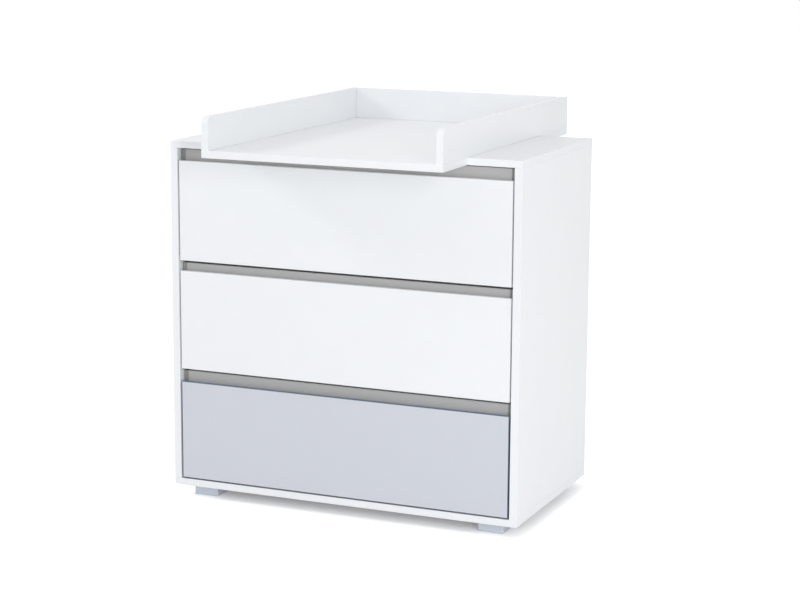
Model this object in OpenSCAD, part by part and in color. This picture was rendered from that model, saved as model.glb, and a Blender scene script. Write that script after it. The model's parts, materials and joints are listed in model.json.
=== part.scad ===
// Three-drawer chest with an open changing tray on top.
// Millimetres, +Z up, +Y towards the rear. The origin is on the floor under the middle of the tray.

/* [Chest] */
// Width over the side panels
body_w = 850; // [780:10:950]
// Depth of the panels, from their front edges to their rear edges
body_d = 470; // [460:5:540]
// Thickness of the top, bottom and tray boards
board_t = 16; // [15:1:19]
// Thickness of the side panels
side_t = 18; // [16:1:22]
// Thickness of the back panel
back_t = 3; // [3:0.5:4]
// Distance from the back panel to the rear edges of the sides
back_inset = 10; // [8:1:14]
// Depth of the grooves that hold the back panel and the drawer bottoms
groove_depth = 6; // [4:1:7]
// Chamfer on the edges of the boards
edge_chamfer = 0.8; // [0.4:0.1:1.2]

/* [Tray] */
// Width over the tray walls
tray_w = 568; // [520:4:600]
// How far the middle of the tray stands to the right of the middle of the chest
tray_shift = 16; // [-40:2:40]
// How far the tray overhangs the front of the chest
front_overhang = 140; // [100:5:160]
// How far the tray overhangs the rear of the chest
rear_overhang = 186; // [120:2:200]
// Height of the tray walls above the tray floor
wall_h = 75; // [60:5:100]
// Radius of the upper front corner of each side wall
wall_corner_r = 20; // [10:1:30]

/* [Drawers] */
// Height of each drawer front
front_h = 229; // [200:1:240]
// Thickness of the drawer fronts
front_t = 18; // [16:1:19]
// Gap between a drawer front and the side panel next to it
front_side_gap = 4; // [3:0.5:5]
// How far the drawer fronts stand back from the panel edges
front_recess = 1; // [0:0.5:2]
// Finger gap above the top drawer front
finger_gap_1 = 29; // [24:0.5:34]
// Finger gap above the middle drawer front
finger_gap_2 = 24.5; // [22:0.5:34]
// Finger gap above the bottom drawer front
finger_gap_3 = 30.5; // [24:0.5:34]
// Gap below the bottom drawer front
front_bottom_gap = 3; // [2:0.5:5]
// Bevel behind the upper edge of each front, where the fingers pull
grip_bevel = 8; // [5:0.5:9]
// Thickness of the drawer box boards
box_t = 15; // [12:1:16]
// Depth of the drawer boxes
box_d = 420; // [410:5:430]
// Thickness of the drawer bottoms
box_bottom_t = 4; // [3:0.5:6]
// Height of the drawer bottom above the lower edges of its box
box_bottom_lift = 12; // [8:1:16]
// Gap between the wide front board of a drawer box and the side panel next to it
box_front_gap = 1.5; // [1:0.5:4]
// Clearance below each drawer box, and above the top one
box_clearance = 4; // [3:0.5:5]
// How much lower the two lower drawer boxes end than the same clearance would leave them
lower_box_drop = 3.5; // [0:0.5:8]

/* [Slides] */
// Length of each rail
slide_l = 400; // [350:10:400]
// Width of the slide, from the side panel to the drawer box
slide_w = 12.7; // [12.7:0.1:13]
// Height of the cabinet rail
slide_h = 45; // [45:1:47]
// Thickness of the rail steel
rail_t = 1.2; // [1:0.1:1.2]
// Height of the slide's centre line above the lower edge of the drawer box
slide_lift = 95; // [70:5:120]
// Distance from the wide front board of the drawer box to the slide
slide_setback = 1; // [0.5:0.5:2]
// Diameter of the bearing balls
ball_d = 3.2; // [3:0.1:3.2]

/* [Feet] */
// Side length of each foot
foot_w = 60; // [50:2:70]
// Height of the feet
foot_h = 26; // [20:1:34]
// Distance from the side of the chest to a foot
foot_inset_x = 40; // [20:2:60]
// Distance from the front and rear edges of the chest to a foot
foot_inset_y = 25; // [15:1:40]

/* [Hidden] */
DRAWERS = [1, 2, 3];
SIDES = ["left", "right"];
$fn = 48;

// Heights, from the floor up
bottom_z = foot_h;
interior_z = bottom_z + board_t;
finger_gaps = [finger_gap_1, finger_gap_2, finger_gap_3];
front_3_z = interior_z + front_bottom_gap;
front_2_z = front_3_z + front_h + finger_gap_3;
front_1_z = front_2_z + front_h + finger_gap_2;
front_zs = [front_1_z, front_2_z, front_3_z];
top_z = front_1_z + front_h + finger_gap_1;
floor_z = top_z + board_t;

// Places across and along the chest
left_x = -body_w / 2;
opening_w = body_w - 2 * side_t;
total_d = front_overhang + body_d + rear_overhang;
tray_front_y = -total_d / 2;
front_y = tray_front_y + front_overhang;
rear_y = front_y + body_d;
tray_rear_y = total_d / 2;
tray_x = tray_shift - tray_w / 2;
back_y = rear_y - back_inset - back_t;

// Drawer boxes
box_w = opening_w - 2 * slide_w;
box_front_w = opening_w - 2 * box_front_gap;
box_chamfer = 0.5;
box_y = front_y + front_recess + front_t;
box_side_l = box_d - 2 * box_t;
function front_z(i) = front_zs[i - 1];
function box_z(i) = front_z(i) + box_clearance;
function box_h(i) = front_h + finger_gaps[i - 1] - 2 * box_clearance - (i == 1 ? 0 : lower_box_drop);
function slide_z(i) = box_z(i) + slide_lift;

// Slide sections: x runs from the side panel to the drawer box, and the rails are symmetrical about z = 0
slide_y = box_y + box_t + slide_setback;
ball_r = ball_d / 2;
race_play = 0.1;
race_depth = 0.3;
race_r = ball_r + race_play;
ball_gap = ball_d - 2 * race_depth;
outer_top = slide_h / 2;
middle_top = outer_top - rail_t - ball_gap;
inner_top = middle_top - rail_t - ball_gap;
outer_row = [6.2, outer_top - rail_t - ball_gap / 2];
inner_row = [8.4, middle_top - rail_t - ball_gap / 2];
outer_flange_x = 9.4;
middle_web_x = 3;
middle_flange_x = 11.2;
middle_lip_t = 0.8;
inner_flange_x = 5.8;
lip_h = 1.6;
rail_hole_r = 2.3;
rail_holes = [24, 88, 216, slide_l - 50];
window_l = 60;
window_h = 14;
window_from_end = 70;
cage_t = 0.5;
cage_l = slide_l / 2;
cage_balls = 6;
ball_pitch = cage_l / cage_balls;
cage_window_h = 22;

// Fasteners
dowel_r = 4;
dowel_l = 30;
rear_dowel_depth = back_inset - 2;
cam_r = 7.5;
cam_l = 12.5;
cam_from_end = 30;
bolt_thread_r = 2.5;
bolt_thread_l = 11;
bolt_r = 3.4;
bolt_l = cam_from_end - cam_r / 2;
cam_clear = 0.2;
cam_ys = [front_y + 42, rear_y - 62];
dowel_ys = [front_y + 74, (front_y + rear_y) / 2, rear_y - 94];
screw_r = 2;
screw_l = 45;
screw_head_r = 4;
screw_head_h = 2.2;
foot_screw_l = 35;
foot_recess = 3;
foot_chamfer = 1.5;
wall_screw_ys = [tray_front_y + 30, tray_front_y + 110, front_y + 60, front_y + 230, rear_y - 70,
                 tray_rear_y - 130, tray_rear_y - 40];
back_wall_screw_xs = [tray_x + 90, tray_x + tray_w / 2, tray_x + tray_w - 90];
shelf_dowel_xs = [tray_x + 60, tray_x + tray_w / 3, tray_x + 2 * tray_w / 3, tray_x + tray_w - 60];

FEET = [["foot_front_left", 0, 0], ["foot_front_right", 1, 0], ["foot_rear_left", 0, 1], ["foot_rear_right", 1, 1]];
BOX_PARTS = ["front", "box_front", "box_back", "box_left", "box_right", "box_bottom"];
RAIL_PARTS = ["outer", "middle", "inner"];
CAGE_STAGES = ["outer", "inner"];

WHITE = "#f2f3f5";
PALE_GREY = "#d0d3dc";
GREY = "#b4b4b2";
FOOT_GREY = "#b4bbc6";
STEEL = "#c3c7cc";
ZINC = "#d4cfc0";
BEECH = "#d8b78a";

// ---------------------------------------------------------------- shared shapes

// A rectangle with its four corners cut off at 45 degrees
module cut_rectangle(w, h, c) {
    polygon([[c, 0], [w - c, 0], [w, c], [w, h - c], [w - c, h], [c, h], [0, h - c], [0, c]]);
}

// A board with its lowest corner at the origin and a chamfer on all twelve edges
module board(w, d, h, c = edge_chamfer) {
    intersection() {
        linear_extrude(height = h) cut_rectangle(w, d, c);
        translate([0, d, 0]) rotate([90, 0, 0]) linear_extrude(height = d) cut_rectangle(w, h, c);
        rotate([90, 0, 90]) linear_extrude(height = w) cut_rectangle(d, h, c);
    }
}

// A cylinder that lies along x or y from its start point
module along_x(r, l) { rotate([0, 90, 0]) cylinder(r = r, h = l); }
module along_y(r, l) { rotate([-90, 0, 0]) cylinder(r = r, h = l); }

// A countersunk screw that points up, with its head level with z = 0
module wood_screw(l) {
    tip_h = 5;
    cylinder(r1 = screw_head_r, r2 = screw_r, h = screw_head_h);
    translate([0, 0, screw_head_h]) cylinder(r = screw_r, h = l - screw_head_h - tip_h);
    translate([0, 0, l - tip_h]) cylinder(r1 = screw_r, r2 = 0.4, h = tip_h);
}

// The places of the tray screws, as [x, y]
wall_screws = concat(
    [for (y = wall_screw_ys) [tray_x + board_t / 2, y]],
    [for (y = wall_screw_ys) [tray_x + tray_w - board_t / 2, y]],
    [for (x = back_wall_screw_xs) [x, tray_rear_y - board_t / 2]]
);
module wall_screw_holes() {
    for (p = wall_screws) translate([p[0], p[1], top_z]) wood_screw(screw_l);
}
module tray_screws() { color(ZINC) wall_screw_holes(); }

// ---------------------------------------------------------------- chest

// Bores for the fittings that join the side panels to the top and bottom panels
module joint_bores() {
    for (x = [left_x + side_t / 2, -left_x - side_t / 2], up = [0, 1]) {
        end_z = up ? top_z : interior_z;
        dir = up ? 1 : -1;
        for (y = dowel_ys) translate([x, y, end_z - dowel_l / 2]) cylinder(r = dowel_r, h = dowel_l);
        for (y = cam_ys) translate([x, y, end_z]) mirror([0, 0, up ? 0 : 1]) {
            cylinder(r = bolt_thread_r, h = bolt_thread_l);
            translate([0, 0, -cam_from_end]) cylinder(r = bolt_r, h = cam_from_end);
        }
    }
}

module cam(y, z, right) {
    inner_x = opening_w / 2;
    translate([right ? inner_x : -inner_x - cam_l, y, z]) along_x(cam_r, cam_l);
}
cam_places = [for (right = [false, true], y = cam_ys, z = [interior_z + cam_from_end, top_z - cam_from_end])
    [y, z, right]];

// Each bolt is fixed in the top or bottom panel, and its head stands clear inside the cam
module bolts(clear) {
    for (x = [left_x + side_t / 2, -left_x - side_t / 2], up = [0, 1], y = cam_ys)
        translate([x, y, up ? top_z : interior_z]) mirror([0, 0, up ? 0 : 1]) {
            cylinder(r = bolt_thread_r, h = bolt_thread_l);
            translate([0, 0, -bolt_l - clear]) cylinder(r = bolt_r + clear, h = bolt_l + clear);
        }
}

// The cams have a slot for the bolt and a recess for the screwdriver
module cam_fittings() {
    driver_r = 2.6;
    driver_h = 3;
    color(ZINC) {
        difference() {
            for (p = cam_places) cam(p[0], p[1], p[2]);
            bolts(cam_clear);
            for (p = cam_places)
                translate([p[2] ? opening_w / 2 - 1 : -opening_w / 2 - driver_h, p[0], p[1]])
                    along_x(driver_r, driver_h + 1);
        }
        bolts(0);
    }
}

module dowels() {
    color(BEECH) {
        for (x = [left_x + side_t / 2, -left_x - side_t / 2], z = [interior_z, top_z], y = dowel_ys)
            translate([x, y, z - dowel_l / 2]) cylinder(r = dowel_r, h = dowel_l);
        shelf_dowels();
    }
}

// The rear ones reach less far into the top panel, because the groove for the back panel crosses it there
module shelf_dowels() {
    for (x = shelf_dowel_xs, y = [front_y - dowel_l / 2, rear_y - rear_dowel_depth])
        translate([x, y, top_z + board_t / 2]) along_y(dowel_r, dowel_l);
}

module side_panel(x) {
    color(WHITE) difference() {
        translate([x, front_y, interior_z]) board(side_t, body_d, top_z - interior_z);
        back_groove();
        joint_bores();
        for (p = cam_places) cam(p[0], p[1], p[2]);
    }
}
module left_side_panel() { side_panel(left_x); }
module right_side_panel() { side_panel(-left_x - side_t); }

// The slot that all four panels share, just large enough for the back panel
module back_groove() {
    translate([-opening_w / 2 - groove_depth, back_y, interior_z - groove_depth])
        cube([opening_w + 2 * groove_depth, back_t, top_z - interior_z + 2 * groove_depth]);
}
module back_panel() { color(WHITE) back_groove(); }

module top_panel() {
    color(WHITE) difference() {
        translate([left_x, front_y, top_z]) board(body_w, body_d, board_t);
        back_groove();
        joint_bores();
        shelf_dowels();
        wall_screw_holes();
    }
}

module bottom_panel() {
    color(WHITE) difference() {
        translate([left_x, front_y, bottom_z]) board(body_w, body_d, board_t);
        back_groove();
        joint_bores();
        foot_screws();
    }
}

// ---------------------------------------------------------------- tray

// A floor board that overhangs the chest; the edge that meets the top panel is square
module shelf(y, d, butts_at_rear) {
    color(WHITE) difference() {
        intersection() {
            translate([tray_x, y - (butts_at_rear ? 0 : edge_chamfer), top_z])
                board(tray_w, d + edge_chamfer, board_t);
            translate([tray_x, y, top_z]) cube([tray_w, d, board_t]);
        }
        shelf_dowels();
        wall_screw_holes();
    }
}
module front_shelf() { shelf(tray_front_y, front_overhang, true); }
module rear_shelf() { shelf(rear_y, rear_overhang, false); }

// A side wall stands on the floor boards, and its upper front corner is round
module tray_side_wall(x) {
    r = wall_corner_r;
    color(WHITE) difference() {
        translate([x, tray_front_y, floor_z]) board(board_t, total_d, wall_h);
        translate([x - 1, tray_front_y, floor_z + wall_h - r]) difference() {
            translate([0, -1, 0]) cube([board_t + 2, r + 1, r + 1]);
            translate([-1, r, 0]) along_x(r, board_t + 4);
        }
        wall_screw_holes();
    }
}
module tray_left_wall() { tray_side_wall(tray_x); }
module tray_right_wall() { tray_side_wall(tray_x + tray_w - board_t); }
module tray_back_wall() {
    color(WHITE) difference() {
        translate([tray_x + board_t, tray_rear_y - board_t, floor_z]) board(tray_w - 2 * board_t, board_t, wall_h);
        wall_screw_holes();
    }
}

// ---------------------------------------------------------------- feet

function foot_x(right) = right ? -left_x - foot_inset_x - foot_w : left_x + foot_inset_x;
function foot_y(rear) = rear ? rear_y - foot_inset_y - foot_w : front_y + foot_inset_y;
foot_screws_at = [for (f = FEET, s = [-1, 1])
    [foot_x(f[1]) + foot_w / 2 + s * foot_w / 4, foot_y(f[2]) + foot_w / 2]];
module foot_screws() {
    color(ZINC) for (p = foot_screws_at) translate([p[0], p[1], foot_recess]) wood_screw(foot_screw_l);
}
module foot(right, rear) {
    color(FOOT_GREY) difference() {
        translate([foot_x(right), foot_y(rear), 0]) board(foot_w, foot_w, foot_h, foot_chamfer);
        foot_screws();
        for (p = foot_screws_at) translate([p[0], p[1], -1]) cylinder(r = screw_head_r, h = foot_recess + 1);
    }
}

// ---------------------------------------------------------------- drawers

// The front, with a bevel behind its upper edge
module drawer_front(i) {
    w = opening_w - 2 * front_side_gap;
    color(i == 3 ? PALE_GREY : WHITE) translate([-w / 2, front_y + front_recess, front_z(i)]) difference() {
        board(w, front_t, front_h);
        translate([-1, front_t - grip_bevel, front_h]) rotate([-45, 0, 0])
            cube([w + 2, 2 * grip_bevel, 2 * grip_bevel]);
    }
}

// The bottom slides in a groove that runs round all four boards of the box
module box_bottom(i) {
    edge = box_t - groove_depth;
    color(WHITE) translate([-box_w / 2 + edge, box_y + edge, box_z(i) + box_bottom_lift])
        cube([box_w - 2 * edge, box_d - 2 * edge, box_bottom_t]);
}

// The front board of the box is wider than the box, so it covers the slides beside it
module box_end(i, y, w) {
    color(GREY) difference() {
        translate([-w / 2, y, box_z(i)]) board(w, box_t, box_h(i), box_chamfer);
        box_bottom(i);
    }
}
module box_side(i, x) {
    color(GREY) difference() {
        translate([x, box_y + box_t, box_z(i)]) board(box_t, box_side_l, box_h(i), box_chamfer);
        box_bottom(i);
    }
}

// ---------------------------------------------------------------- slides

// One half of a rail section is drawn above z = 0 and mirrored below it
module both_halves() {
    children();
    mirror([0, 1]) children();
}
module race(row) { translate(row) circle(r = race_r); }
module rail_section(part) {
    if (part == "outer") both_halves() difference() {
        polygon([[0, 0], [0, outer_top], [outer_flange_x, outer_top],
                 [outer_flange_x, outer_top - rail_t - lip_h], [outer_flange_x - rail_t, outer_top - rail_t - lip_h],
                 [outer_flange_x - rail_t, outer_top - rail_t], [rail_t, outer_top - rail_t], [rail_t, 0]]);
        race(outer_row);
    }
    if (part == "middle") both_halves() difference() {
        polygon([[middle_web_x, 0], [middle_web_x, middle_top], [middle_flange_x, middle_top],
                 [middle_flange_x, middle_top - rail_t - lip_h],
                 [middle_flange_x - middle_lip_t, middle_top - rail_t - lip_h],
                 [middle_flange_x - middle_lip_t, middle_top - rail_t],
                 [middle_web_x + rail_t, middle_top - rail_t], [middle_web_x + rail_t, 0]]);
        race(outer_row);
        race(inner_row);
    }
    if (part == "inner") both_halves() difference() {
        polygon([[slide_w, 0], [slide_w, inner_top], [inner_flange_x, inner_top],
                 [inner_flange_x, inner_top - rail_t], [slide_w - rail_t, inner_top - rail_t],
                 [slide_w - rail_t, 0]]);
        race(inner_row);
    }
}

// A rail on the left side of the chest; x = 0 is the face of the side panel
module left_rail(part) {
    difference() {
        translate([0, slide_l, 0]) rotate([90, 0, 0]) linear_extrude(height = slide_l) rail_section(part);
        if (part == "middle") {
            for (y = [window_from_end, slide_l / 2, slide_l - window_from_end])
                translate([middle_web_x - 1, y - window_l / 2, -window_h / 2]) cube([rail_t + 2, window_l, window_h]);
        } else {
            for (y = rail_holes)
                translate([part == "outer" ? -1 : slide_w - rail_t - 1, y, 0]) along_x(rail_hole_r, rail_t + 2);
        }
    }
}
module on_side(i, side) {
    mirror([side == "right" ? 1 : 0, 0, 0]) translate([-opening_w / 2, slide_y, slide_z(i)]) children();
}
module rail(i, side, part) {
    color(STEEL) on_side(i, side) left_rail(part);
}

// A ball cage is a thin strip bent to a C between two rails, with a row of balls in each of its flanges
module ball_cage(web_x, row) {
    flange_x = row[0] + race_r;
    difference() {
        translate([0, (slide_l + cage_l) / 2, 0]) rotate([90, 0, 0]) linear_extrude(height = cage_l) both_halves()
            polygon([[web_x, 0], [web_x, row[1] + cage_t / 2], [flange_x, row[1] + cage_t / 2],
                     [flange_x, row[1] - cage_t / 2], [web_x + cage_t, row[1] - cage_t / 2], [web_x + cage_t, 0]]);
        for (y = [slide_l / 2 - cage_l / 4, slide_l / 2 + cage_l / 4])
            translate([web_x - 1, y - window_l / 2, -cage_window_h / 2])
                cube([cage_t + 2, window_l, cage_window_h]);
    }
    for (n = [0 : cage_balls - 1], side = [-1, 1])
        translate([row[0], (slide_l - cage_l + ball_pitch) / 2 + n * ball_pitch, side * row[1]])
            sphere(r = ball_r, $fn = 24);
}
module ball_cages(i, stage) {
    color(STEEL) for (s = SIDES) on_side(i, s)
        if (stage == "outer") ball_cage((rail_t + middle_web_x - cage_t) / 2, outer_row);
        else ball_cage((middle_web_x + rail_t + inner_flange_x - cage_t) / 2, inner_row);
}

// ---------------------------------------------------------------- assembly

top_panel();
front_shelf();
rear_shelf();
tray_left_wall();
tray_right_wall();
tray_back_wall();
bottom_panel();
left_side_panel();
right_side_panel();
back_panel();
foot_screws();
cam_fittings();
dowels();
tray_screws();
for (f = FEET)
    foot(f[1], f[2]);
for (i = DRAWERS) {
    drawer_front(i);
    box_end(i, box_y, box_front_w);
    box_end(i, box_y + box_d - box_t, box_w);
    box_side(i, -box_w / 2);
    box_side(i, box_w / 2 - box_t);
    box_bottom(i);
    for (s = SIDES, p = RAIL_PARTS)
        rail(i, s, p);
    for (c = CAGE_STAGES)
        ball_cages(i, c);
}
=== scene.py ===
# %% [markdown]
# # A changing table: a chest of three drawers with an open changing tray on top
# The real piece is flat-pack furniture. Its boards are melamine-faced chipboard, its drawers run on
# telescopic ball-bearing slides, and the tray on top takes a changing mat. Every rigid shape comes from the
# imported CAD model, and this lesson adds the camera, the studio, the finishes and the small fasteners. The
# frame is loaded first, because every later size is worked out from it.

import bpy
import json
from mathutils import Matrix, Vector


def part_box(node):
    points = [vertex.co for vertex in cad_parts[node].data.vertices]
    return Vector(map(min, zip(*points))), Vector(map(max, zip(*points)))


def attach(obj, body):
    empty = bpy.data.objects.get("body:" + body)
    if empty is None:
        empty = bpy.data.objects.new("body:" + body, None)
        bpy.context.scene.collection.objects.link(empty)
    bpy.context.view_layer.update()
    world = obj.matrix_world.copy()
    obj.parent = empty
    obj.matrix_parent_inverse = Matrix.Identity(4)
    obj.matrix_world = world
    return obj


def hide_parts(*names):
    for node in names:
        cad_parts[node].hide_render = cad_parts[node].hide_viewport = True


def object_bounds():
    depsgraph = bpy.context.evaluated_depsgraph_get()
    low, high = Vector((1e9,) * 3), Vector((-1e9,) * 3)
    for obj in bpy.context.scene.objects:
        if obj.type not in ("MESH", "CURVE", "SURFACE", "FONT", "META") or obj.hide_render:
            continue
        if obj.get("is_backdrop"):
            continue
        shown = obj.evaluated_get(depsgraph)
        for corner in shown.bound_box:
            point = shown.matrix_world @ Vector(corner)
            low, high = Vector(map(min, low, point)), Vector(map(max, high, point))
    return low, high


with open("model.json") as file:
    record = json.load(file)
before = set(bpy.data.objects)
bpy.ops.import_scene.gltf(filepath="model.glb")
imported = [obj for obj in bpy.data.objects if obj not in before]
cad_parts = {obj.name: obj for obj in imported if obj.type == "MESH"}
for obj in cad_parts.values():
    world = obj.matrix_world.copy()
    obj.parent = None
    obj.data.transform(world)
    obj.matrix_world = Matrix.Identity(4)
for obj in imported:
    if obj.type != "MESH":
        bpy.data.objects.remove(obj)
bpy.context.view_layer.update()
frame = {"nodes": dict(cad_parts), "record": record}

# %% [markdown]
# ## Modules and units
# Blender and the frame both count in metres, but furniture is measured in millimetres. So one factor is kept
# for all sizes, and a board of 16 mm is written as 16 * MM.

# %% Modules and units
import json
import math

import bpy
from mathutils import Matrix, Vector

MM = 0.001
DRAWERS = (1, 2, 3)
scene = bpy.context.scene
nodes = frame["nodes"]
print("nodes in the frame:", len(nodes), "drawers:", len(DRAWERS))

# %% [markdown]
# ## Two helpers
# Paint charts and screens give colours as sRGB hex codes, but a renderer adds light in linear numbers, so
# one function turns a hex code into linear RGBA. Node trees are long to write out one call at a time, so a
# second function adds any node with its settings and its links. A value that is a socket becomes a link,
# and any other value is typed into the input.

# %% Colour and node helpers
def linear(hex_code):
    """The linear RGBA of an sRGB hex code such as #f4f6f8."""
    channels = [int(hex_code[i:i + 2], 16) / 255 for i in (1, 3, 5)]
    light = [c / 12.92 if c <= 0.04045 else ((c + 0.055) / 1.055) ** 2.4 for c in channels]
    return (*light, 1.0)


def add_node(tree, kind, inputs=None, **settings):
    """Adds a node. Settings are its properties, and inputs are values or the sockets that feed it."""
    node = tree.nodes.new(kind)
    for name, value in settings.items():
        setattr(node, name, value)
    for key, value in (inputs or {}).items():
        if isinstance(value, bpy.types.NodeSocket):
            tree.links.new(value, node.inputs[key])
        else:
            node.inputs[key].default_value = value
    return node


print("the white of the boards in linear light:", [round(c, 3) for c in linear("#f4f6f8")])

# %% [markdown]
# ## The camera
# Furniture is usually taken from a little above the top, a few metres away, with a long lens that keeps the
# sides nearly parallel. The camera turns about the vertical first, then tips down, then rolls by a hair, so
# its matrix is built from those three turns in that order.

# %% Place the camera
CAMERA_PLACE = Vector((1911, -4370, 1377)) * MM
CAMERA_TURN, CAMERA_TIP, CAMERA_ROLL = (math.radians(a) for a in (23.24, 10.96, 0.35))
SENSOR_WIDTH, LENS = 36, 93.7  # millimetres, as Blender's camera takes them

camera = bpy.data.objects.new("camera", bpy.data.cameras.new("camera"))
camera.data.sensor_width = SENSOR_WIDTH
camera.data.lens = LENS
camera.matrix_world = (Matrix.Translation(CAMERA_PLACE)
                       @ Matrix.Rotation(CAMERA_TURN, 4, "Z")
                       @ Matrix.Rotation(math.pi / 2 - CAMERA_TIP, 4, "X")
                       @ Matrix.Rotation(CAMERA_ROLL, 4, "Z"))
scene.collection.objects.link(camera)
scene.camera = camera
print("camera distance in metres:", round(CAMERA_PLACE.length, 2))

# %% [markdown]
# ## The world
# A catalogue shot stands on a white sweep. Painting the floor brighter, or adding lamps until it burns out,
# would burn out the white boards too. Instead the floor and the world ask what kind of ray has reached
# them. Camera, glossy and transmitted rays see white, and the rays that carry light onto the boards see a
# plain pale surface. The fill light comes from above, as from a ceiling of diffusers, and fades towards the
# horizon.

# %% The world
FILL_HORIZON, FILL_RISE = 0.45, 0.44
WHITE = linear("#ffffff")
scene.view_settings.view_transform = "Standard"
world = bpy.data.worlds.new("studio")
scene.world = world
world.use_nodes = True
sky = world.node_tree
sky.nodes.clear()


def seen_directly(tree):
    """1 for camera, glossy and transmitted rays, and 0 for the rays that light the object."""
    path = add_node(tree, "ShaderNodeLightPath").outputs
    either = add_node(tree, "ShaderNodeMath", {0: path["Is Camera Ray"], 1: path["Is Glossy Ray"]},
                      operation="MAXIMUM").outputs[0]
    return add_node(tree, "ShaderNodeMath", {0: either, 1: path["Is Transmission Ray"]},
                    operation="MAXIMUM").outputs[0]


ray = add_node(sky, "ShaderNodeTexCoord").outputs["Generated"]
direction = add_node(sky, "ShaderNodeSeparateXYZ", {0: ray})
strength = add_node(sky, "ShaderNodeMapRange", {
    "Value": direction.outputs["Z"], "To Min": FILL_HORIZON, "To Max": FILL_HORIZON + FILL_RISE})
fill = add_node(sky, "ShaderNodeBackground", {"Color": WHITE, "Strength": strength.outputs["Result"]})
white = add_node(sky, "ShaderNodeBackground", {"Color": WHITE, "Strength": 1.0})
choice = add_node(sky, "ShaderNodeMixShader", {
    0: seen_directly(sky), 1: fill.outputs[0], 2: white.outputs[0]})
add_node(sky, "ShaderNodeOutputWorld", {"Surface": choice.outputs[0]})
print("fill light from horizon to zenith:", FILL_HORIZON, "to", FILL_HORIZON + FILL_RISE)

# %% [markdown]
# ## The floor
# What the camera sees of the floor is its own light, which carries the shadow, plus a white that fades in
# away from the chest. So the contact shadow stays short and the floor runs into the white behind it. The
# distance is measured from the sides of the footprint, and the white comes in sooner beside the chest than
# in front of it. From below the floor is see-through, so the underside of the chest can be looked at.

# %% The floor
FLOOR_HALF = 14.0
FLOOR_HEX = "#e6e6e6"  # the paint that passes light on to the object
FLOOR_SHOWN = 1.2  # the paint that the camera sees
# The footprint box is set 50 mm in from the chest's left side, so the painted white comes in sooner there and
# the shadow left of the chest is lighter.
FOOTPRINT_MIDDLE, FOOTPRINT_HALF = (0.025, -0.023), (0.4, 0.235)
FADE_BESIDE, FADE_BEFORE = 0.03, 0.055
WHITE_NEAR, WHITE_AWAY = 0.12, 0.45
floor_mesh = bpy.data.meshes.new("studio_floor")
floor_mesh.from_pydata([(x, y, 0) for x, y in ((-1, -1), (1, -1), (1, 1), (-1, 1))], [], [(0, 1, 2, 3)])
floor_mesh.transform(Matrix.Diagonal((FLOOR_HALF, FLOOR_HALF, 1, 1)))
floor = bpy.data.objects.new("studio_floor", floor_mesh)
scene.collection.objects.link(floor)
floor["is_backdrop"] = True

paint = bpy.data.materials.new("matt_white_floor_paint")
paint.use_nodes = True
tree = paint.node_tree
tree.nodes.clear()
plain = add_node(tree, "ShaderNodeBsdfDiffuse", {"Color": linear(FLOOR_HEX)})
lit = add_node(tree, "ShaderNodeBsdfDiffuse", {"Color": (FLOOR_SHOWN, FLOOR_SHOWN, FLOOR_SHOWN, 1)})
spot = add_node(tree, "ShaderNodeSeparateXYZ", {0: add_node(tree, "ShaderNodeTexCoord").outputs["Object"]})
past_edge = []
for axis, centre, half, fade in zip("XY", FOOTPRINT_MIDDLE, FOOTPRINT_HALF, (FADE_BESIDE, FADE_BEFORE)):
    off = add_node(tree, "ShaderNodeMath", {0: spot.outputs[axis], 1: centre}, operation="SUBTRACT")
    reach = add_node(tree, "ShaderNodeMath", {0: off.outputs[0]}, operation="ABSOLUTE")
    past = add_node(tree, "ShaderNodeMath", {0: reach.outputs[0], 1: half}, operation="SUBTRACT")
    faded = add_node(tree, "ShaderNodeMath", {0: past.outputs[0], 1: fade}, operation="DIVIDE")
    past_edge.append(faded.outputs[0])
furthest = add_node(tree, "ShaderNodeMath", {0: past_edge[0], 1: past_edge[1]}, operation="MAXIMUM")
away = add_node(tree, "ShaderNodeMapRange", {
    "Value": furthest.outputs[0], "To Min": WHITE_NEAR, "To Max": WHITE_AWAY},
    interpolation_type="SMOOTHSTEP")
own = add_node(tree, "ShaderNodeEmission", {"Color": WHITE, "Strength": away.outputs["Result"]})
shown = add_node(tree, "ShaderNodeAddShader", {0: lit.outputs[0], 1: own.outputs[0]})
choice = add_node(tree, "ShaderNodeMixShader", {
    0: seen_directly(tree), 1: plain.outputs[0], 2: shown.outputs[0]})
below = add_node(tree, "ShaderNodeNewGeometry").outputs["Backfacing"]
see_through = add_node(tree, "ShaderNodeBsdfTransparent").outputs[0]
one_sided = add_node(tree, "ShaderNodeMixShader", {0: below, 1: choice.outputs[0], 2: see_through})
add_node(tree, "ShaderNodeOutputMaterial", {"Surface": one_sided.outputs[0]})
floor_mesh.materials.append(paint)
print("studio floor, metres across:", 2 * FLOOR_HALF)

# %% [markdown]
# ## The lamps
# A tall, narrow soft box stands low on the right, so the overhanging tray throws hardly any shadow on the
# top drawer, and the side panel shades the right-hand ends of the grey strips. A small one hangs high on
# the left. It looks over the left wall of the tray, whose shadow makes the band along the tray floor. Both
# are a little cool.

# %% Two soft boxes
COOL_WHITE = (0.985, 1.0, 1.02)
SOFT_BOXES = {  # place, width and height in metres, watts, and the point that it is aimed at
    "soft_box_right": ((2.86, -3.6, 1.5), (0.5, 2.2), 62, (0.1, -0.2, 0.45)),
    "soft_box_left": ((-3.59, -1.31, 2.98), (0.9, 0.9), 40, (0, 0, 0.6)),
}


def soft_box(name, place, size, watts, aim):
    """A rectangular area lamp that looks at a point."""
    lamp = bpy.data.objects.new(name, bpy.data.lights.new(name, "AREA"))
    lamp.data.shape = "RECTANGLE"
    lamp.data.size, lamp.data.size_y = size
    lamp.data.energy = watts
    lamp.data.color = COOL_WHITE
    towards = (Vector(aim) - Vector(place)).to_track_quat("-Z", "Y")
    lamp.matrix_world = Matrix.Translation(place) @ towards.to_matrix().to_4x4()
    scene.collection.objects.link(lamp)


for name, given in SOFT_BOXES.items():
    soft_box(name, *given)
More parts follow.
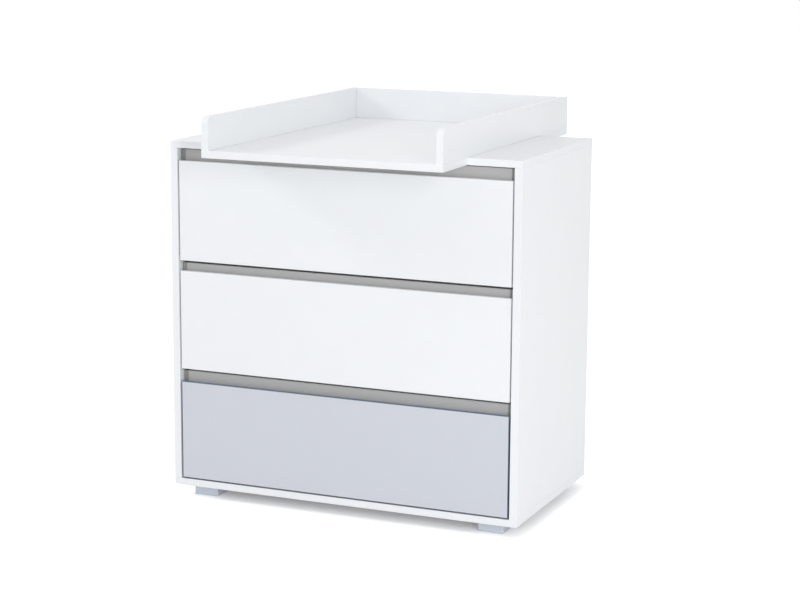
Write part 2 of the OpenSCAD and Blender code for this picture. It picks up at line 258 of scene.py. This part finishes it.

# %% [markdown]
# ## Where a board changes colour
# The cut edges of a board are closed with a plastic strip, 1 mm thick. On the white boards it matches, and
# on the grey front it is slate blue, dark enough that it also stands in for the shade in the gaps, so it draws
# a thin line round the face. The front board of each grey box is wider than its box, and where it reaches past
# the sides to cover the slides its ends are painted darker, as painted shade for the side panels' shadows.
# Neither is a shape of its own, so both are masks in the finish, worked out from the boards' own sizes. They
# read Object coordinates, which are the frame's own, in metres, because every piece sits at the origin.

# %% Masks for the edging and the painted shade on the box-front ends
EDGING_AND_SHADE_WIDTH = 1.0 * MM
PAST_BOX = 0.3 * MM


def outside(tree, axis, low, high):
    """1 where the surface lies below low or above high along an axis, and 0 between them."""
    place = add_node(tree, "ShaderNodeTexCoord").outputs["Object"]
    point = add_node(tree, "ShaderNodeSeparateXYZ", {0: place})
    off = add_node(tree, "ShaderNodeMath", {0: point.outputs[axis], 1: (low + high) / 2},
                   operation="SUBTRACT")
    reach = add_node(tree, "ShaderNodeMath", {0: off.outputs[0]}, operation="ABSOLUTE")
    return add_node(tree, "ShaderNodeMath", {0: reach.outputs[0], 1: (high - low) / 2},
                    operation="GREATER_THAN").outputs[0]


def edging_and_gap_shade(tree):
    """1 on the strip round the grey front, which also stands in for the shade in its gaps, and 0 inside it."""
    low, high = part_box("drawer_3_front")
    sides = [outside(tree, axis, a + EDGING_AND_SHADE_WIDTH, b - EDGING_AND_SHADE_WIDTH)
             for axis, a, b in (("X", low.x, high.x), ("Z", low.z, high.z))]
    return add_node(tree, "ShaderNodeMath", {0: sides[0], 1: sides[1]}, operation="MAXIMUM").outputs[0]


def painted_end_shade(tree):
    """1 on the ends of a box's front board past the sides of its box, which carry painted shade, and 0
    elsewhere.
    """
    left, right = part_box("drawer_1_box_left")[0].x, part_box("drawer_1_box_right")[1].x
    return outside(tree, "X", left - PAST_BOX, right + PAST_BOX)


print("edging, millimetres wide:", EDGING_AND_SHADE_WIDTH / MM)

# %% [markdown]
# ## Melamine-faced board
# Decor paper soaked in melamine resin is pressed onto chipboard against a steel plate with a fine pearl
# texture. The resin is hard and satin, so it gives a soft, even sheen and no visible grain. The pearl
# texture is about half a millimetre across, far too fine for a picture of the whole chest, so it is drawn
# six times as coarse here. The chips below also show through the paper as a slow, shallow wave, which only
# the sheen gives away. Both are bump, and a cloud of a few centimetres lets the tone and the roughness drift
# by a hair, as pressed resin does.

# %% Melamine board, in three colours
MELAMINE_IOR = 1.5
PEARL_DRAWN = 3.0 * MM
PEARL_DEPTH = 0.05 * MM
PEARL_STRENGTH = 0.12
CHIP_WAVE = 11 * MM
CHIP_DEPTH = 0.02 * MM
CLOUD = 70 * MM
TONE_DRIFT = 0.015
GLOSS_DRIFT = 0.04
TONE_RESULT = 2  # the colour output of a Mix node, whose outputs share one name
finishes = {}


def melamine(name, hex_code, gloss, trim_and_shade=None, trim_and_shade_hex=None):
    """A pressed resin face. gloss is its roughness; the mask and its colour give the grey front's dark edge
    strip and the painted shade on the box-front ends.
    """
    material = bpy.data.materials.new(name)
    material.use_nodes = True
    tree = material.node_tree
    tree.nodes.clear()
    place = add_node(tree, "ShaderNodeTexCoord").outputs["Object"]
    pearl = add_node(tree, "ShaderNodeTexNoise", {"Vector": place, "Scale": 1 / PEARL_DRAWN, "Detail": 2.0})
    chips = add_node(tree, "ShaderNodeTexNoise", {"Vector": place, "Scale": 1 / CHIP_WAVE, "Detail": 1.0})
    cloud = add_node(tree, "ShaderNodeTexNoise", {"Vector": place, "Scale": 1 / CLOUD, "Detail": 3.0})
    colour = linear(hex_code)
    tone = add_node(tree, "ShaderNodeMix", {
        "Factor": cloud.outputs["Fac"], "A": tuple(c * (1 - TONE_DRIFT) for c in colour),
        "B": tuple(min(1, c * (1 + TONE_DRIFT)) for c in colour)}, data_type="RGBA")
    if trim_and_shade:
        tone = add_node(tree, "ShaderNodeMix", {
            "Factor": trim_and_shade(tree), "A": tone.outputs[TONE_RESULT], "B": linear(trim_and_shade_hex)}, data_type="RGBA")
    rough = add_node(tree, "ShaderNodeMapRange", {
        "Value": cloud.outputs["Fac"], "To Min": gloss - GLOSS_DRIFT, "To Max": gloss + GLOSS_DRIFT})
    wave = add_node(tree, "ShaderNodeBump", {
        "Height": chips.outputs["Fac"], "Strength": 1.0, "Distance": CHIP_DEPTH})
    bump = add_node(tree, "ShaderNodeBump", {
        "Height": pearl.outputs["Fac"], "Strength": PEARL_STRENGTH, "Distance": PEARL_DEPTH,
        "Normal": wave.outputs["Normal"]})
    resin = add_node(tree, "ShaderNodeBsdfPrincipled", {
        "Base Color": tone.outputs[TONE_RESULT], "IOR": MELAMINE_IOR, "Roughness": rough.outputs["Result"],
        "Normal": bump.outputs["Normal"]})
    add_node(tree, "ShaderNodeOutputMaterial", {"Surface": resin.outputs[0]})
    finishes[name] = material


melamine("white_melamine_board", "#f4f6f8", 0.38)
# The slate strip is drawn dark enough to stand in for the shade in the gaps round the grey front.
melamine("pale_grey_melamine_board", "#d2d5dc", 0.42, edging_and_gap_shade, "#6c7c8e")
# The darker grey is painted shade on the ends of the box fronts, standing in for the side panels' shadows.
melamine("grey_melamine_board", "#bcbbba", 0.5, painted_end_shade, "#929292")
print("boards:", sorted(finishes))

# %% [markdown]
# ## Hardboard, plastics and beech
# The drawer bottoms are hardboard, which is pressed wood fibre with a thin white lacquer: the fibres still
# show as faint streaks that lie every way. The feet are moulded polypropylene with a spark-eroded grain,
# which makes them matt. The release levers of the slides are moulded acetal, which is a little oily to the
# eye. The dowels are beech, whose fine dark flecks run along the grain. All four are one pattern on a plain
# shader, so one function takes the stretch of the pattern, its two colours and its depth.

# %% Four plain finishes
PATTERN_STRENGTH = 0.5


def patterned(name, light_hex, dark_hex, grain, stretch, depth, gloss, ior):
    """A surface with one pattern. grain is its size in metres, and stretch pulls it along x, y and z."""
    material = bpy.data.materials.new(name)
    material.use_nodes = True
    tree = material.node_tree
    tree.nodes.clear()
    place = add_node(tree, "ShaderNodeTexCoord").outputs["Object"]
    pulled = add_node(tree, "ShaderNodeMapping", {
        "Vector": place, "Scale": tuple(1 / (grain * k) for k in stretch)})
    fleck = add_node(tree, "ShaderNodeTexNoise", {"Vector": pulled.outputs[0], "Scale": 1.0, "Detail": 4.0})
    tone = add_node(tree, "ShaderNodeMix", {
        "Factor": fleck.outputs["Fac"], "A": linear(light_hex), "B": linear(dark_hex)}, data_type="RGBA")
    rough = add_node(tree, "ShaderNodeMapRange", {
        "Value": fleck.outputs["Fac"], "To Min": gloss - GLOSS_DRIFT, "To Max": gloss + GLOSS_DRIFT})
    bump = add_node(tree, "ShaderNodeBump", {
        "Height": fleck.outputs["Fac"], "Strength": PATTERN_STRENGTH, "Distance": depth})
    skin = add_node(tree, "ShaderNodeBsdfPrincipled", {
        "Base Color": tone.outputs[TONE_RESULT], "IOR": ior, "Roughness": rough.outputs["Result"],
        "Normal": bump.outputs["Normal"]})
    add_node(tree, "ShaderNodeOutputMaterial", {"Surface": skin.outputs[0]})
    finishes[name] = material


FIBRE = 4 * MM
EROSION_DRAWN = 1.6 * MM  # the real grain is a fifth of that, too fine to show
BEECH_FLECK = 0.6 * MM
patterned("white_hardboard", "#eef0f2", "#e2e5e8", FIBRE, (1, 1, 1), 0.08 * MM, 0.55, 1.5)
patterned("grey_foot_plastic", "#e0e6ef", "#d5dce7", EROSION_DRAWN, (1, 1, 1), 0.06 * MM, 0.5, 1.49)
patterned("beech", "#dfc097", "#c79c6a", BEECH_FLECK, (1, 14, 14), 0.05 * MM, 0.6, 1.5)
patterned("black_acetal", "#1c1d1f", "#26272a", EROSION_DRAWN, (1, 1, 1), 0.04 * MM, 0.35, 1.48)
print("plain finishes:", [n for n in finishes if "melamine" not in n])

# %% [markdown]
# ## Zinc-plated steel
# The slides are rolled from cold-rolled strip and then zinc plated, so they are bright, a little blue, and
# streaked along their length. The screws and cams are plated and then passivated, which turns the zinc
# faintly yellow. A metal has no base paint to show: its colour is that of its reflection, so metallic is 1
# and the IOR stays put.

# %% Two steels
ROLLING_STREAK = 1.2 * MM
STREAK_LENGTH = 90
PLATING_CLOUD = 3 * MM
PLATING_GLOSS_DRIFT = 0.08


def plated(name, light_hex, dark_hex, grain, stretch, gloss):
    """Zinc-plated steel, with streaks or clouds of the given size in its colour and its roughness."""
    material = bpy.data.materials.new(name)
    material.use_nodes = True
    tree = material.node_tree
    tree.nodes.clear()
    place = add_node(tree, "ShaderNodeTexCoord").outputs["Object"]
    pulled = add_node(tree, "ShaderNodeMapping", {
        "Vector": place, "Scale": tuple(1 / (grain * k) for k in stretch)})
    streak = add_node(tree, "ShaderNodeTexNoise", {"Vector": pulled.outputs[0], "Scale": 1.0, "Detail": 3.0})
    tone = add_node(tree, "ShaderNodeMix", {
        "Factor": streak.outputs["Fac"], "A": linear(light_hex), "B": linear(dark_hex)}, data_type="RGBA")
    rough = add_node(tree, "ShaderNodeMapRange", {
        "Value": streak.outputs["Fac"], "To Min": gloss - PLATING_GLOSS_DRIFT,
        "To Max": gloss + PLATING_GLOSS_DRIFT})
    steel = add_node(tree, "ShaderNodeBsdfPrincipled", {
        "Base Color": tone.outputs[TONE_RESULT], "Metallic": 1.0, "Roughness": rough.outputs["Result"]})
    add_node(tree, "ShaderNodeOutputMaterial", {"Surface": steel.outputs[0]})
    finishes[name] = material


plated("zinc_plated_rail_steel", "#d3d7dc", "#b3b8be", ROLLING_STREAK, (1, STREAK_LENGTH, 1), 0.34)
plated("zinc_plated_steel", "#ddd5bd", "#c4b995", PLATING_CLOUD, (1, 1, 1), 0.3)
print("steels:", [n for n in finishes if "steel" in n])

# %% [markdown]
# ## A finish for every node
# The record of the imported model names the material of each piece. A loop reads it there, which is safer than
# a list written by hand: no piece is forgotten, and each shows the material that it is made of. A node of
# the CAD model keeps its mesh and only takes the finish.

# %% Give every node its finish
for part in frame["record"]["subparts"]:
    node = nodes[part["node"]]
    node.data.materials.clear()
    node.data.materials.append(finishes[part["material_slot"]])

# %% [markdown]
# ## Where the fasteners go
# A node such as the tray screws holds many loose solids. Their places are read from the model itself: a
# copy of the node's mesh is merged, because it comes as loose triangles, and each connected island gives
# one box. So a screw stays in its hole if the chest is ever made wider.

# %% Find the loose solids of a node
import bmesh

TOUCHING = 0.001 * MM


def islands(name):
    """The lowest and highest corner of each loose solid of a CAD node."""
    copy = bmesh.new()
    copy.from_mesh(nodes[name].data)
    bmesh.ops.remove_doubles(copy, verts=copy.verts, dist=TOUCHING)
    left, boxes = set(copy.verts), []
    while left:
        queue, seen = [left.pop()], []
        while queue:
            vertex = queue.pop()
            seen.append(vertex.co.copy())
            for edge in vertex.link_edges:
                other = edge.other_vert(vertex)
                if other in left:
                    left.remove(other)
                    queue.append(other)
        boxes.append((Vector(map(min, zip(*seen))), Vector(map(max, zip(*seen)))))
    copy.free()
    return sorted(boxes, key=lambda b: tuple(round(c, 5) for c in b[0]))


tray_screw_boxes = islands("tray_screws")
foot_screw_boxes = islands("foot_screws")
cam_boxes, bolt_boxes = [], []  # a cam is a disc on edge, as high as it is deep, and a bolt is not
for low, high in islands("cam_fittings"):
    (cam_boxes if abs((high - low).z - (high - low).y) < MM else bolt_boxes).append((low, high))
print("tray screws:", len(tray_screw_boxes), "foot screws:", len(foot_screw_boxes),
      "cams:", len(cam_boxes), "bolts:", len(bolt_boxes))

# %% [markdown]
# ## One screw, with Geometry Nodes
# Flat-pack furniture is held by one family of fasteners that differ only in their sizes: a round head with
# a cross-shaped recess for the driver, a shank, and a thread. A mesh could be modelled for each kind, but
# what they share is a rule, so the screw is made of nodes that take its sizes. The head is a cone frustum,
# cut by two small boxes, and the thread is a spiral curve with a three-sided profile.

# %% The nodes of one screw
HEAD_SIDES = 20
SHANK_SIDES = 12
THREAD_STEPS = 10
RIDGE_SIDES = 3
POINT_LONG, POINT_BLUNT = 2.0, 0.2  # the point's length and its tip's radius, in shank radii
BAR_THROUGH = 2.0  # a bar is centred on the head's top, so half of it cuts
SCREW_SIZES = ("Top radius", "Under radius", "Head height", "Stand", "Shank radius", "Shank length",
               "Thread depth", "Thread turns", "Slot width", "Slot length", "Slot depth")


def one_screw(tree, given):
    """The geometry of one screw that points down, built from the tree's inputs."""
    # The sizes that follow from the given ones, where Stand is how far the head's top stands off the origin
    size = {name: given[name] for name in SCREW_SIZES}
    for result, a, operation, b in (("Under", "Stand", "SUBTRACT", "Head height"),
                                    ("Bar height", "Slot depth", "MULTIPLY", BAR_THROUGH),
                                    ("Shank low", "Under", "SUBTRACT", "Shank length"),
                                    ("Point height", "Shank radius", "MULTIPLY", POINT_LONG),
                                    ("Tip radius", "Shank radius", "MULTIPLY", POINT_BLUNT),
                                    ("Point low", "Shank low", "SUBTRACT", "Point height")):
        size[result] = add_node(tree, "ShaderNodeMath", {0: size[a], 1: size.get(b, b)},
                                operation=operation).outputs[0]

    # The head, the two bars that cut its cross, the shank, the thread and the point
    cones = [add_node(tree, "GeometryNodeMeshCone", {
        "Vertices": sides, "Radius Top": size[top], "Radius Bottom": size[bottom],
        "Depth": size[height]}).outputs["Mesh"]
        for sides, top, bottom, height in ((HEAD_SIDES, "Top radius", "Under radius", "Head height"),
                                           (SHANK_SIDES, "Shank radius", "Shank radius", "Shank length"),
                                           (SHANK_SIDES, "Shank radius", "Tip radius", "Point height"))]
    head, shank, point = cones
    bars = []
    for x, y in (("Slot length", "Slot width"), ("Slot width", "Slot length")):
        box = add_node(tree, "ShaderNodeCombineXYZ", {"X": size[x], "Y": size[y], "Z": size["Bar height"]})
        bars.append(add_node(tree, "GeometryNodeMeshCube", {"Size": box.outputs[0]}).outputs["Mesh"])
    spiral = add_node(tree, "GeometryNodeCurveSpiral", {
        "Resolution": THREAD_STEPS, "Rotations": size["Thread turns"], "Start Radius": size["Shank radius"],
        "End Radius": size["Shank radius"], "Height": size["Shank length"]}).outputs[0]
    ridge = add_node(tree, "GeometryNodeCurvePrimitiveCircle", {
        "Resolution": RIDGE_SIDES, "Radius": size["Thread depth"]}).outputs[0]
    thread = add_node(tree, "GeometryNodeCurveToMesh", {
        "Curve": spiral, "Profile Curve": ridge, "Fill Caps": True}).outputs[0]

    # Each is moved to its own height, the bars cut the head, and the rest is joined on
    moved = []
    for mesh, height in ((head, "Under"), (bars[0], "Stand"), (bars[1], "Stand"), (shank, "Shank low"),
                         (thread, "Shank low"), (point, "Point low")):
        lift = add_node(tree, "ShaderNodeCombineXYZ", {"Z": size[height]}).outputs[0]
        moved.append(add_node(tree, "GeometryNodeTransform", {
            "Geometry": mesh, "Translation": lift}).outputs[0])
    cut = add_node(tree, "GeometryNodeMeshBoolean", {"Mesh 1": moved[0]}, operation="DIFFERENCE",
                   solver="EXACT")
    for bar in moved[1:3]:
        tree.links.new(bar, cut.inputs["Mesh 2"])
    whole = add_node(tree, "GeometryNodeJoinGeometry")
    for mesh in (cut.outputs["Mesh"], *moved[3:]):
        tree.links.new(mesh, whole.inputs[0])
    return whole.outputs[0]


print("sizes that a screw takes:", len(SCREW_SIZES))

# %% [markdown]
# ## One for every place
# There are over a hundred screws, cams and bolts, and they sit on panels, rails and boards that look every
# way. So the tree takes points that carry the direction that a head looks in, and puts a screw on each.
# Each one is turned about its own axis by a random amount, because nobody lines up their screws. Instances
# are only references to one mesh, so Realize Instances makes them real.

# %% The screw tree
def screw_tree():
    """A node tree that puts one screw on each point, its head towards the point's outward direction."""
    tree = bpy.data.node_groups.new("cross_recess_screws", "GeometryNodeTree")
    tree.interface.new_socket("Places", in_out="INPUT", socket_type="NodeSocketGeometry")
    for name in SCREW_SIZES:
        tree.interface.new_socket(name, in_out="INPUT", socket_type="NodeSocketFloat")
    tree.interface.new_socket("Seed", in_out="INPUT", socket_type="NodeSocketInt")
    tree.interface.new_socket("Finish", in_out="INPUT", socket_type="NodeSocketMaterial")
    tree.interface.new_socket("Screws", in_out="OUTPUT", socket_type="NodeSocketGeometry")
    given = add_node(tree, "NodeGroupInput").outputs
    screw = one_screw(tree, given)
    outward = add_node(tree, "GeometryNodeInputNamedAttribute", {"Name": "outward"}, data_type="FLOAT_VECTOR")
    aimed = add_node(tree, "FunctionNodeAlignRotationToVector", {
        "Vector": outward.outputs["Attribute"]}, axis="Z")
    turn = add_node(tree, "FunctionNodeRandomValue", {
        "Max": math.tau, "Seed": given["Seed"]}, data_type="FLOAT")
    about_axis = add_node(tree, "ShaderNodeCombineXYZ", {"Z": turn.outputs["Value"]}).outputs[0]
    spin = add_node(tree, "FunctionNodeEulerToRotation", {"Euler": about_axis})
    turned = add_node(tree, "FunctionNodeRotateRotation", {
        "Rotation": aimed.outputs[0], "Rotate By": spin.outputs[0]}, rotation_space="LOCAL")
    placed = add_node(tree, "GeometryNodeInstanceOnPoints", {
        "Points": given["Places"], "Instance": screw, "Rotation": turned.outputs[0]})
    real = add_node(tree, "GeometryNodeRealizeInstances", {"Geometry": placed.outputs[0]})
    coated = add_node(tree, "GeometryNodeSetMaterial", {
        "Geometry": real.outputs[0], "Material": given["Finish"]})
    add_node(tree, "NodeGroupOutput", {"Screws": coated.outputs[0]})
    return tree


screws = screw_tree()
print("screw tree:", len(screws.nodes), "nodes")

# %% [markdown]
# ## From points to one plain mesh
# The points are a mesh of loose vertices, with the outward direction stored as an attribute on each. A
# modifier's inputs are set by their identifiers, the evaluated result is copied into a plain mesh, and the
# modifier goes. What is left is a piece like any other, which can ride on its body.

# %% Make a set of screws
def screw_set(name, body, places, sizes, slot="zinc_plated_steel", replaces=(), seed=1):
    """One mesh of screws. places are (point, outward) pairs, and sizes are the tree's inputs in mm."""
    points = bpy.data.meshes.new(name)
    points.from_pydata([tuple(p) for p, _ in places], [], [])
    outward = points.attributes.new("outward", "FLOAT_VECTOR", "POINT")
    outward.data.foreach_set("vector", [c for _, direction in places for c in direction])
    piece = bpy.data.objects.new(name, points)
    scene.collection.objects.link(piece)
    modifier = piece.modifiers.new(name, "NODES")
    modifier.node_group = screws
    values = {k: v if k == "Thread turns" else v * MM for k, v in sizes.items()}
    values.update({"Seed": seed, "Finish": finishes[slot]})
    for socket in screws.interface.items_tree:
        if socket.in_out == "INPUT" and socket.name in values:
            modifier[socket.identifier] = values[socket.name]
    bpy.context.view_layer.update()
    graph = bpy.context.evaluated_depsgraph_get()
    mesh = bpy.data.meshes.new_from_object(piece.evaluated_get(graph), depsgraph=graph)
    piece.modifiers.clear()
    piece.data = mesh
    mesh.name = name
    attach(piece, body)
    if replaces:
        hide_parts(*replaces)
    print(f"{name}: {len(places)} screws, {len(mesh.polygons)} faces")


UP, DOWN = Vector((0, 0, 1)), Vector((0, 0, -1))


def middle(low, high, z):
    """The middle of a box's footprint, at the height z."""
    return Vector(((low.x + high.x) / 2, (low.y + high.y) / 2, z))


CHIPBOARD_SCREW = {
    "Top radius": 3.98, "Under radius": 1.75, "Head height": 2.2, "Stand": 0.0, "Shank radius": 1.45,
    "Thread depth": 0.4, "Slot width": 0.9, "Slot length": 4.2, "Slot depth": 1.5}
TRAY_SCREW = {**CHIPBOARD_SCREW, "Shank length": 39, "Thread turns": 18.0}
FOOT_SCREW = {**CHIPBOARD_SCREW, "Shank length": 29, "Thread turns": 13.0}
screw_set("tray_screws_threaded", "cabinet", [(middle(a, b, a.z), DOWN) for a, b in tray_screw_boxes],
          TRAY_SCREW, replaces=["tray_screws"])
screw_set("foot_screws_threaded", "cabinet", [(middle(a, b, a.z), DOWN) for a, b in foot_screw_boxes],
          FOOT_SCREW, replaces=["foot_screws"], seed=2)

# %% [markdown]
# ## The screws of the drawers
# Each drawer front is screwed on from inside its box, and the box boards are screwed together at the
# corners. The slides hang on short screws with flat heads, because the ball cage passes them with barely
# more than half a millimetre to spare. Only the screws of the inner rails have room for a domed head. All
# of them are the same tree with other sizes, on points worked out from the boards and the rails.

# %% Screws of the box and the slides
RAIL_HOLES = (24, 88, 216, 350)  # millimetres from the front end of a rail
RAIL_STEEL = 1.2 * MM
FRONT_SCREW_IN, FRONT_SCREW_UP = 60 * MM, 55 * MM
CORNER_SCREW_UP = 40 * MM
PAN_SCREW = {
    "Top radius": 2.3, "Under radius": 3.6, "Head height": 1.8, "Stand": 1.8, "Shank radius": 1.45,
    "Thread depth": 0.4, "Slot width": 0.8, "Slot length": 3.2, "Slot depth": 1.0}
FLAT_SCREW = {
    **PAN_SCREW, "Top radius": 3.2, "Head height": 0.4, "Stand": 0.4, "Slot depth": 0.3, "Shank radius": 1.7}
PANEL_SCREW = {**FLAT_SCREW, "Shank length": 12, "Thread turns": 6.0}
BOX_SIDE_SCREW = {**PAN_SCREW, "Shank length": 11, "Thread turns": 6.0}
BOX_SCREW = {**PAN_SCREW, "Shank length": 22, "Thread turns": 11.0}
REAR = Vector((0, 1, 0))


def rail_places(node, face_x, outward):
    """The holes of a rail, on the face of its web that looks along outward."""
    low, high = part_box(node)
    return [(Vector((face_x, low.y + y * MM, (low.z + high.z) / 2)), outward) for y in RAIL_HOLES]


for i in DRAWERS:
    outer, inner = [], []
    for side, inwards in (("left", Vector((1, 0, 0))), ("right", Vector((-1, 0, 0)))):
        for kind, found in (("outer", outer), ("inner", inner)):
            node = f"rail_{i}_{side}_{kind}"
            low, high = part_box(node)
            at_panel, at_box = (low.x, high.x) if side == "left" else (high.x, low.x)
            face, look = (at_panel, inwards) if kind == "outer" else (at_box, -inwards)
            found += rail_places(node, face + RAIL_STEEL * look.x, look)
    screw_set(f"slide_screws_{i}", "cabinet", outer, PANEL_SCREW, seed=10 + i)
    screw_set(f"drawer_{i}_slide_screws", f"drawer_{i}", inner, BOX_SIDE_SCREW, seed=20 + i)
    low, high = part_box(f"drawer_{i}_box_front")
    front = [(Vector((x, high.y, z)), REAR)
             for x in (low.x + FRONT_SCREW_IN, 0, high.x - FRONT_SCREW_IN)
             for z in (low.z + FRONT_SCREW_UP, high.z - FRONT_SCREW_UP)]
    low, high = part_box(f"drawer_{i}_box_back")
    side_low, side_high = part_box(f"drawer_{i}_box_left")
    half_board = (side_high.x - side_low.x) / 2
    back = [(Vector((x, high.y, z)), REAR)
            for x in (low.x + half_board, high.x - half_board)
            for z in (low.z + CORNER_SCREW_UP, (low.z + high.z) / 2, high.z - CORNER_SCREW_UP)]
    screw_set(f"drawer_{i}_front_screws", f"drawer_{i}", front + back, BOX_SCREW, seed=30 + i)

# %% [markdown]
# ## Cams and their bolts
# The side panels are pulled against the top and bottom by cam fittings: a steel bolt reaches into a round
# cam, which is turned with a screwdriver. A cam is a very short, fat screw without a shank, and its bolt is
# a long head with a short thread, so the same tree makes both.

# %% Cams and bolts
CAM = {"Top radius": 7.4, "Under radius": 7.4, "Head height": 12.4, "Stand": -0.1, "Shank radius": 0.5,
       "Shank length": 0.1, "Thread depth": 0.1, "Thread turns": 1.0, "Slot width": 1.6, "Slot length": 8.0,
       "Slot depth": 3.0}
BOLT = {"Top radius": 3.2, "Under radius": 3.4, "Head height": 22, "Stand": 22, "Shank radius": 2.1,
        "Shank length": 6.4, "Thread depth": 0.35, "Thread turns": 4.0, "Slot width": 0.8, "Slot length": 3.0,
        "Slot depth": 0.5}
cams = [((a + b) / 2, Vector((1 if a.x < 0 else -1, 0, 0)), (b - a).x / 2) for a, b in cam_boxes]
screw_set("cam_discs", "cabinet", [(p + out * half, out) for p, out, half in cams], CAM,
          replaces=["cam_fittings"], seed=4)
lids = [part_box("top_panel")[0].z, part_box("bottom_panel")[1].z]
bolt_places = []
for a, b in bolt_boxes:
    joint_z = min(lids, key=lambda z: abs(z - (a.z + b.z) / 2))
    bolt_places.append((middle(a, b, joint_z), DOWN if joint_z == lids[0] else UP))
screw_set("cam_bolts", "cabinet", bolt_places, BOLT, seed=5)

# %% [markdown]
# ## The release levers of the slides
# A drawer is taken out by pressing a small black lever on each slide, which frees the inner rail. It is a
# flat moulding with a round eye at one end and a thumb pad at the other, so it is drawn as one outline in
# the plane of the rail and given its thickness. It lies in the channel of the inner rail and travels with
# the drawer.

# %% Draw the levers
LEVER_THICK = 2.4 * MM
LEVER_FROM = 128 * MM
LEVER_LENGTH = 58 * MM
EYE_R, NECK, PAD, PAD_CORNER = 5.5 * MM, 2.0 * MM, 5.0 * MM, 2 * MM
EYE_GAP, EYE_STEP = 30, 20  # degrees either side of the neck that the eye leaves open, and between its points
NECK_END, PAD_START = 0.62, 0.78  # shares of the length from the middle of the eye
OFF_WEB = 0.4 * MM
ROUNDING = 0.4 * MM
SHARP = 1  # radians


def lever_outline():
    """Points in (along, up): round the eye, along the neck to the pad, and back."""
    angles = [math.radians(a) for a in range(EYE_GAP, 361 - EYE_GAP, EYE_STEP)]
    eye = [(EYE_R * math.cos(t), EYE_R * math.sin(t)) for t in angles]
    end = LEVER_LENGTH - EYE_R
    lower = [(end * NECK_END, -NECK), (end * PAD_START, -PAD), (end - PAD_CORNER, -PAD),
             (end, -PAD + PAD_CORNER)]
    return eye + lower + [(along, -up) for along, up in reversed(lower)]


for i in DRAWERS:
    lever_mesh = bmesh.new()
    for side, sign in (("left", 1), ("right", -1)):
        low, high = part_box(f"rail_{i}_{side}_inner")
        x = (high.x if side == "left" else low.x) - sign * RAIL_STEEL - sign * OFF_WEB
        eye_y, eye_z = low.y + LEVER_FROM, (low.z + high.z) / 2
        corners = [lever_mesh.verts.new((x, eye_y + along, eye_z + up)) for along, up in lever_outline()]
        face = lever_mesh.faces.new(corners)
        grown = bmesh.ops.extrude_face_region(lever_mesh, geom=[face])["geom"]
        bmesh.ops.translate(lever_mesh, vec=(-sign * LEVER_THICK, 0, 0),
                            verts=[v for v in grown if isinstance(v, bmesh.types.BMVert)])
    bmesh.ops.recalc_face_normals(lever_mesh, faces=lever_mesh.faces)
    rims = [e for e in lever_mesh.edges if abs(e.calc_face_angle(0)) > SHARP]
    bmesh.ops.bevel(lever_mesh, geom=rims, offset=ROUNDING, segments=2, profile=0.5, affect="EDGES")
    data = bpy.data.meshes.new(f"drawer_{i}_release_levers")
    lever_mesh.to_mesh(data)
    lever_mesh.free()
    data.materials.append(finishes["black_acetal"])
    levers = bpy.data.objects.new(f"drawer_{i}_release_levers", data)
    scene.collection.objects.link(levers)
    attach(levers, f"drawer_{i}")
print("release levers on", len(DRAWERS), "drawers, faces each:", len(data.polygons))

# %% [markdown]
# ## The size of what is shown
# Looks never change an object's size, so the box of what is shown is printed.

# %% Print the size of what is shown
low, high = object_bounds()
print("box of what is shown, in metres:", [round(b - a, 4) for a, b in zip(low, high)])
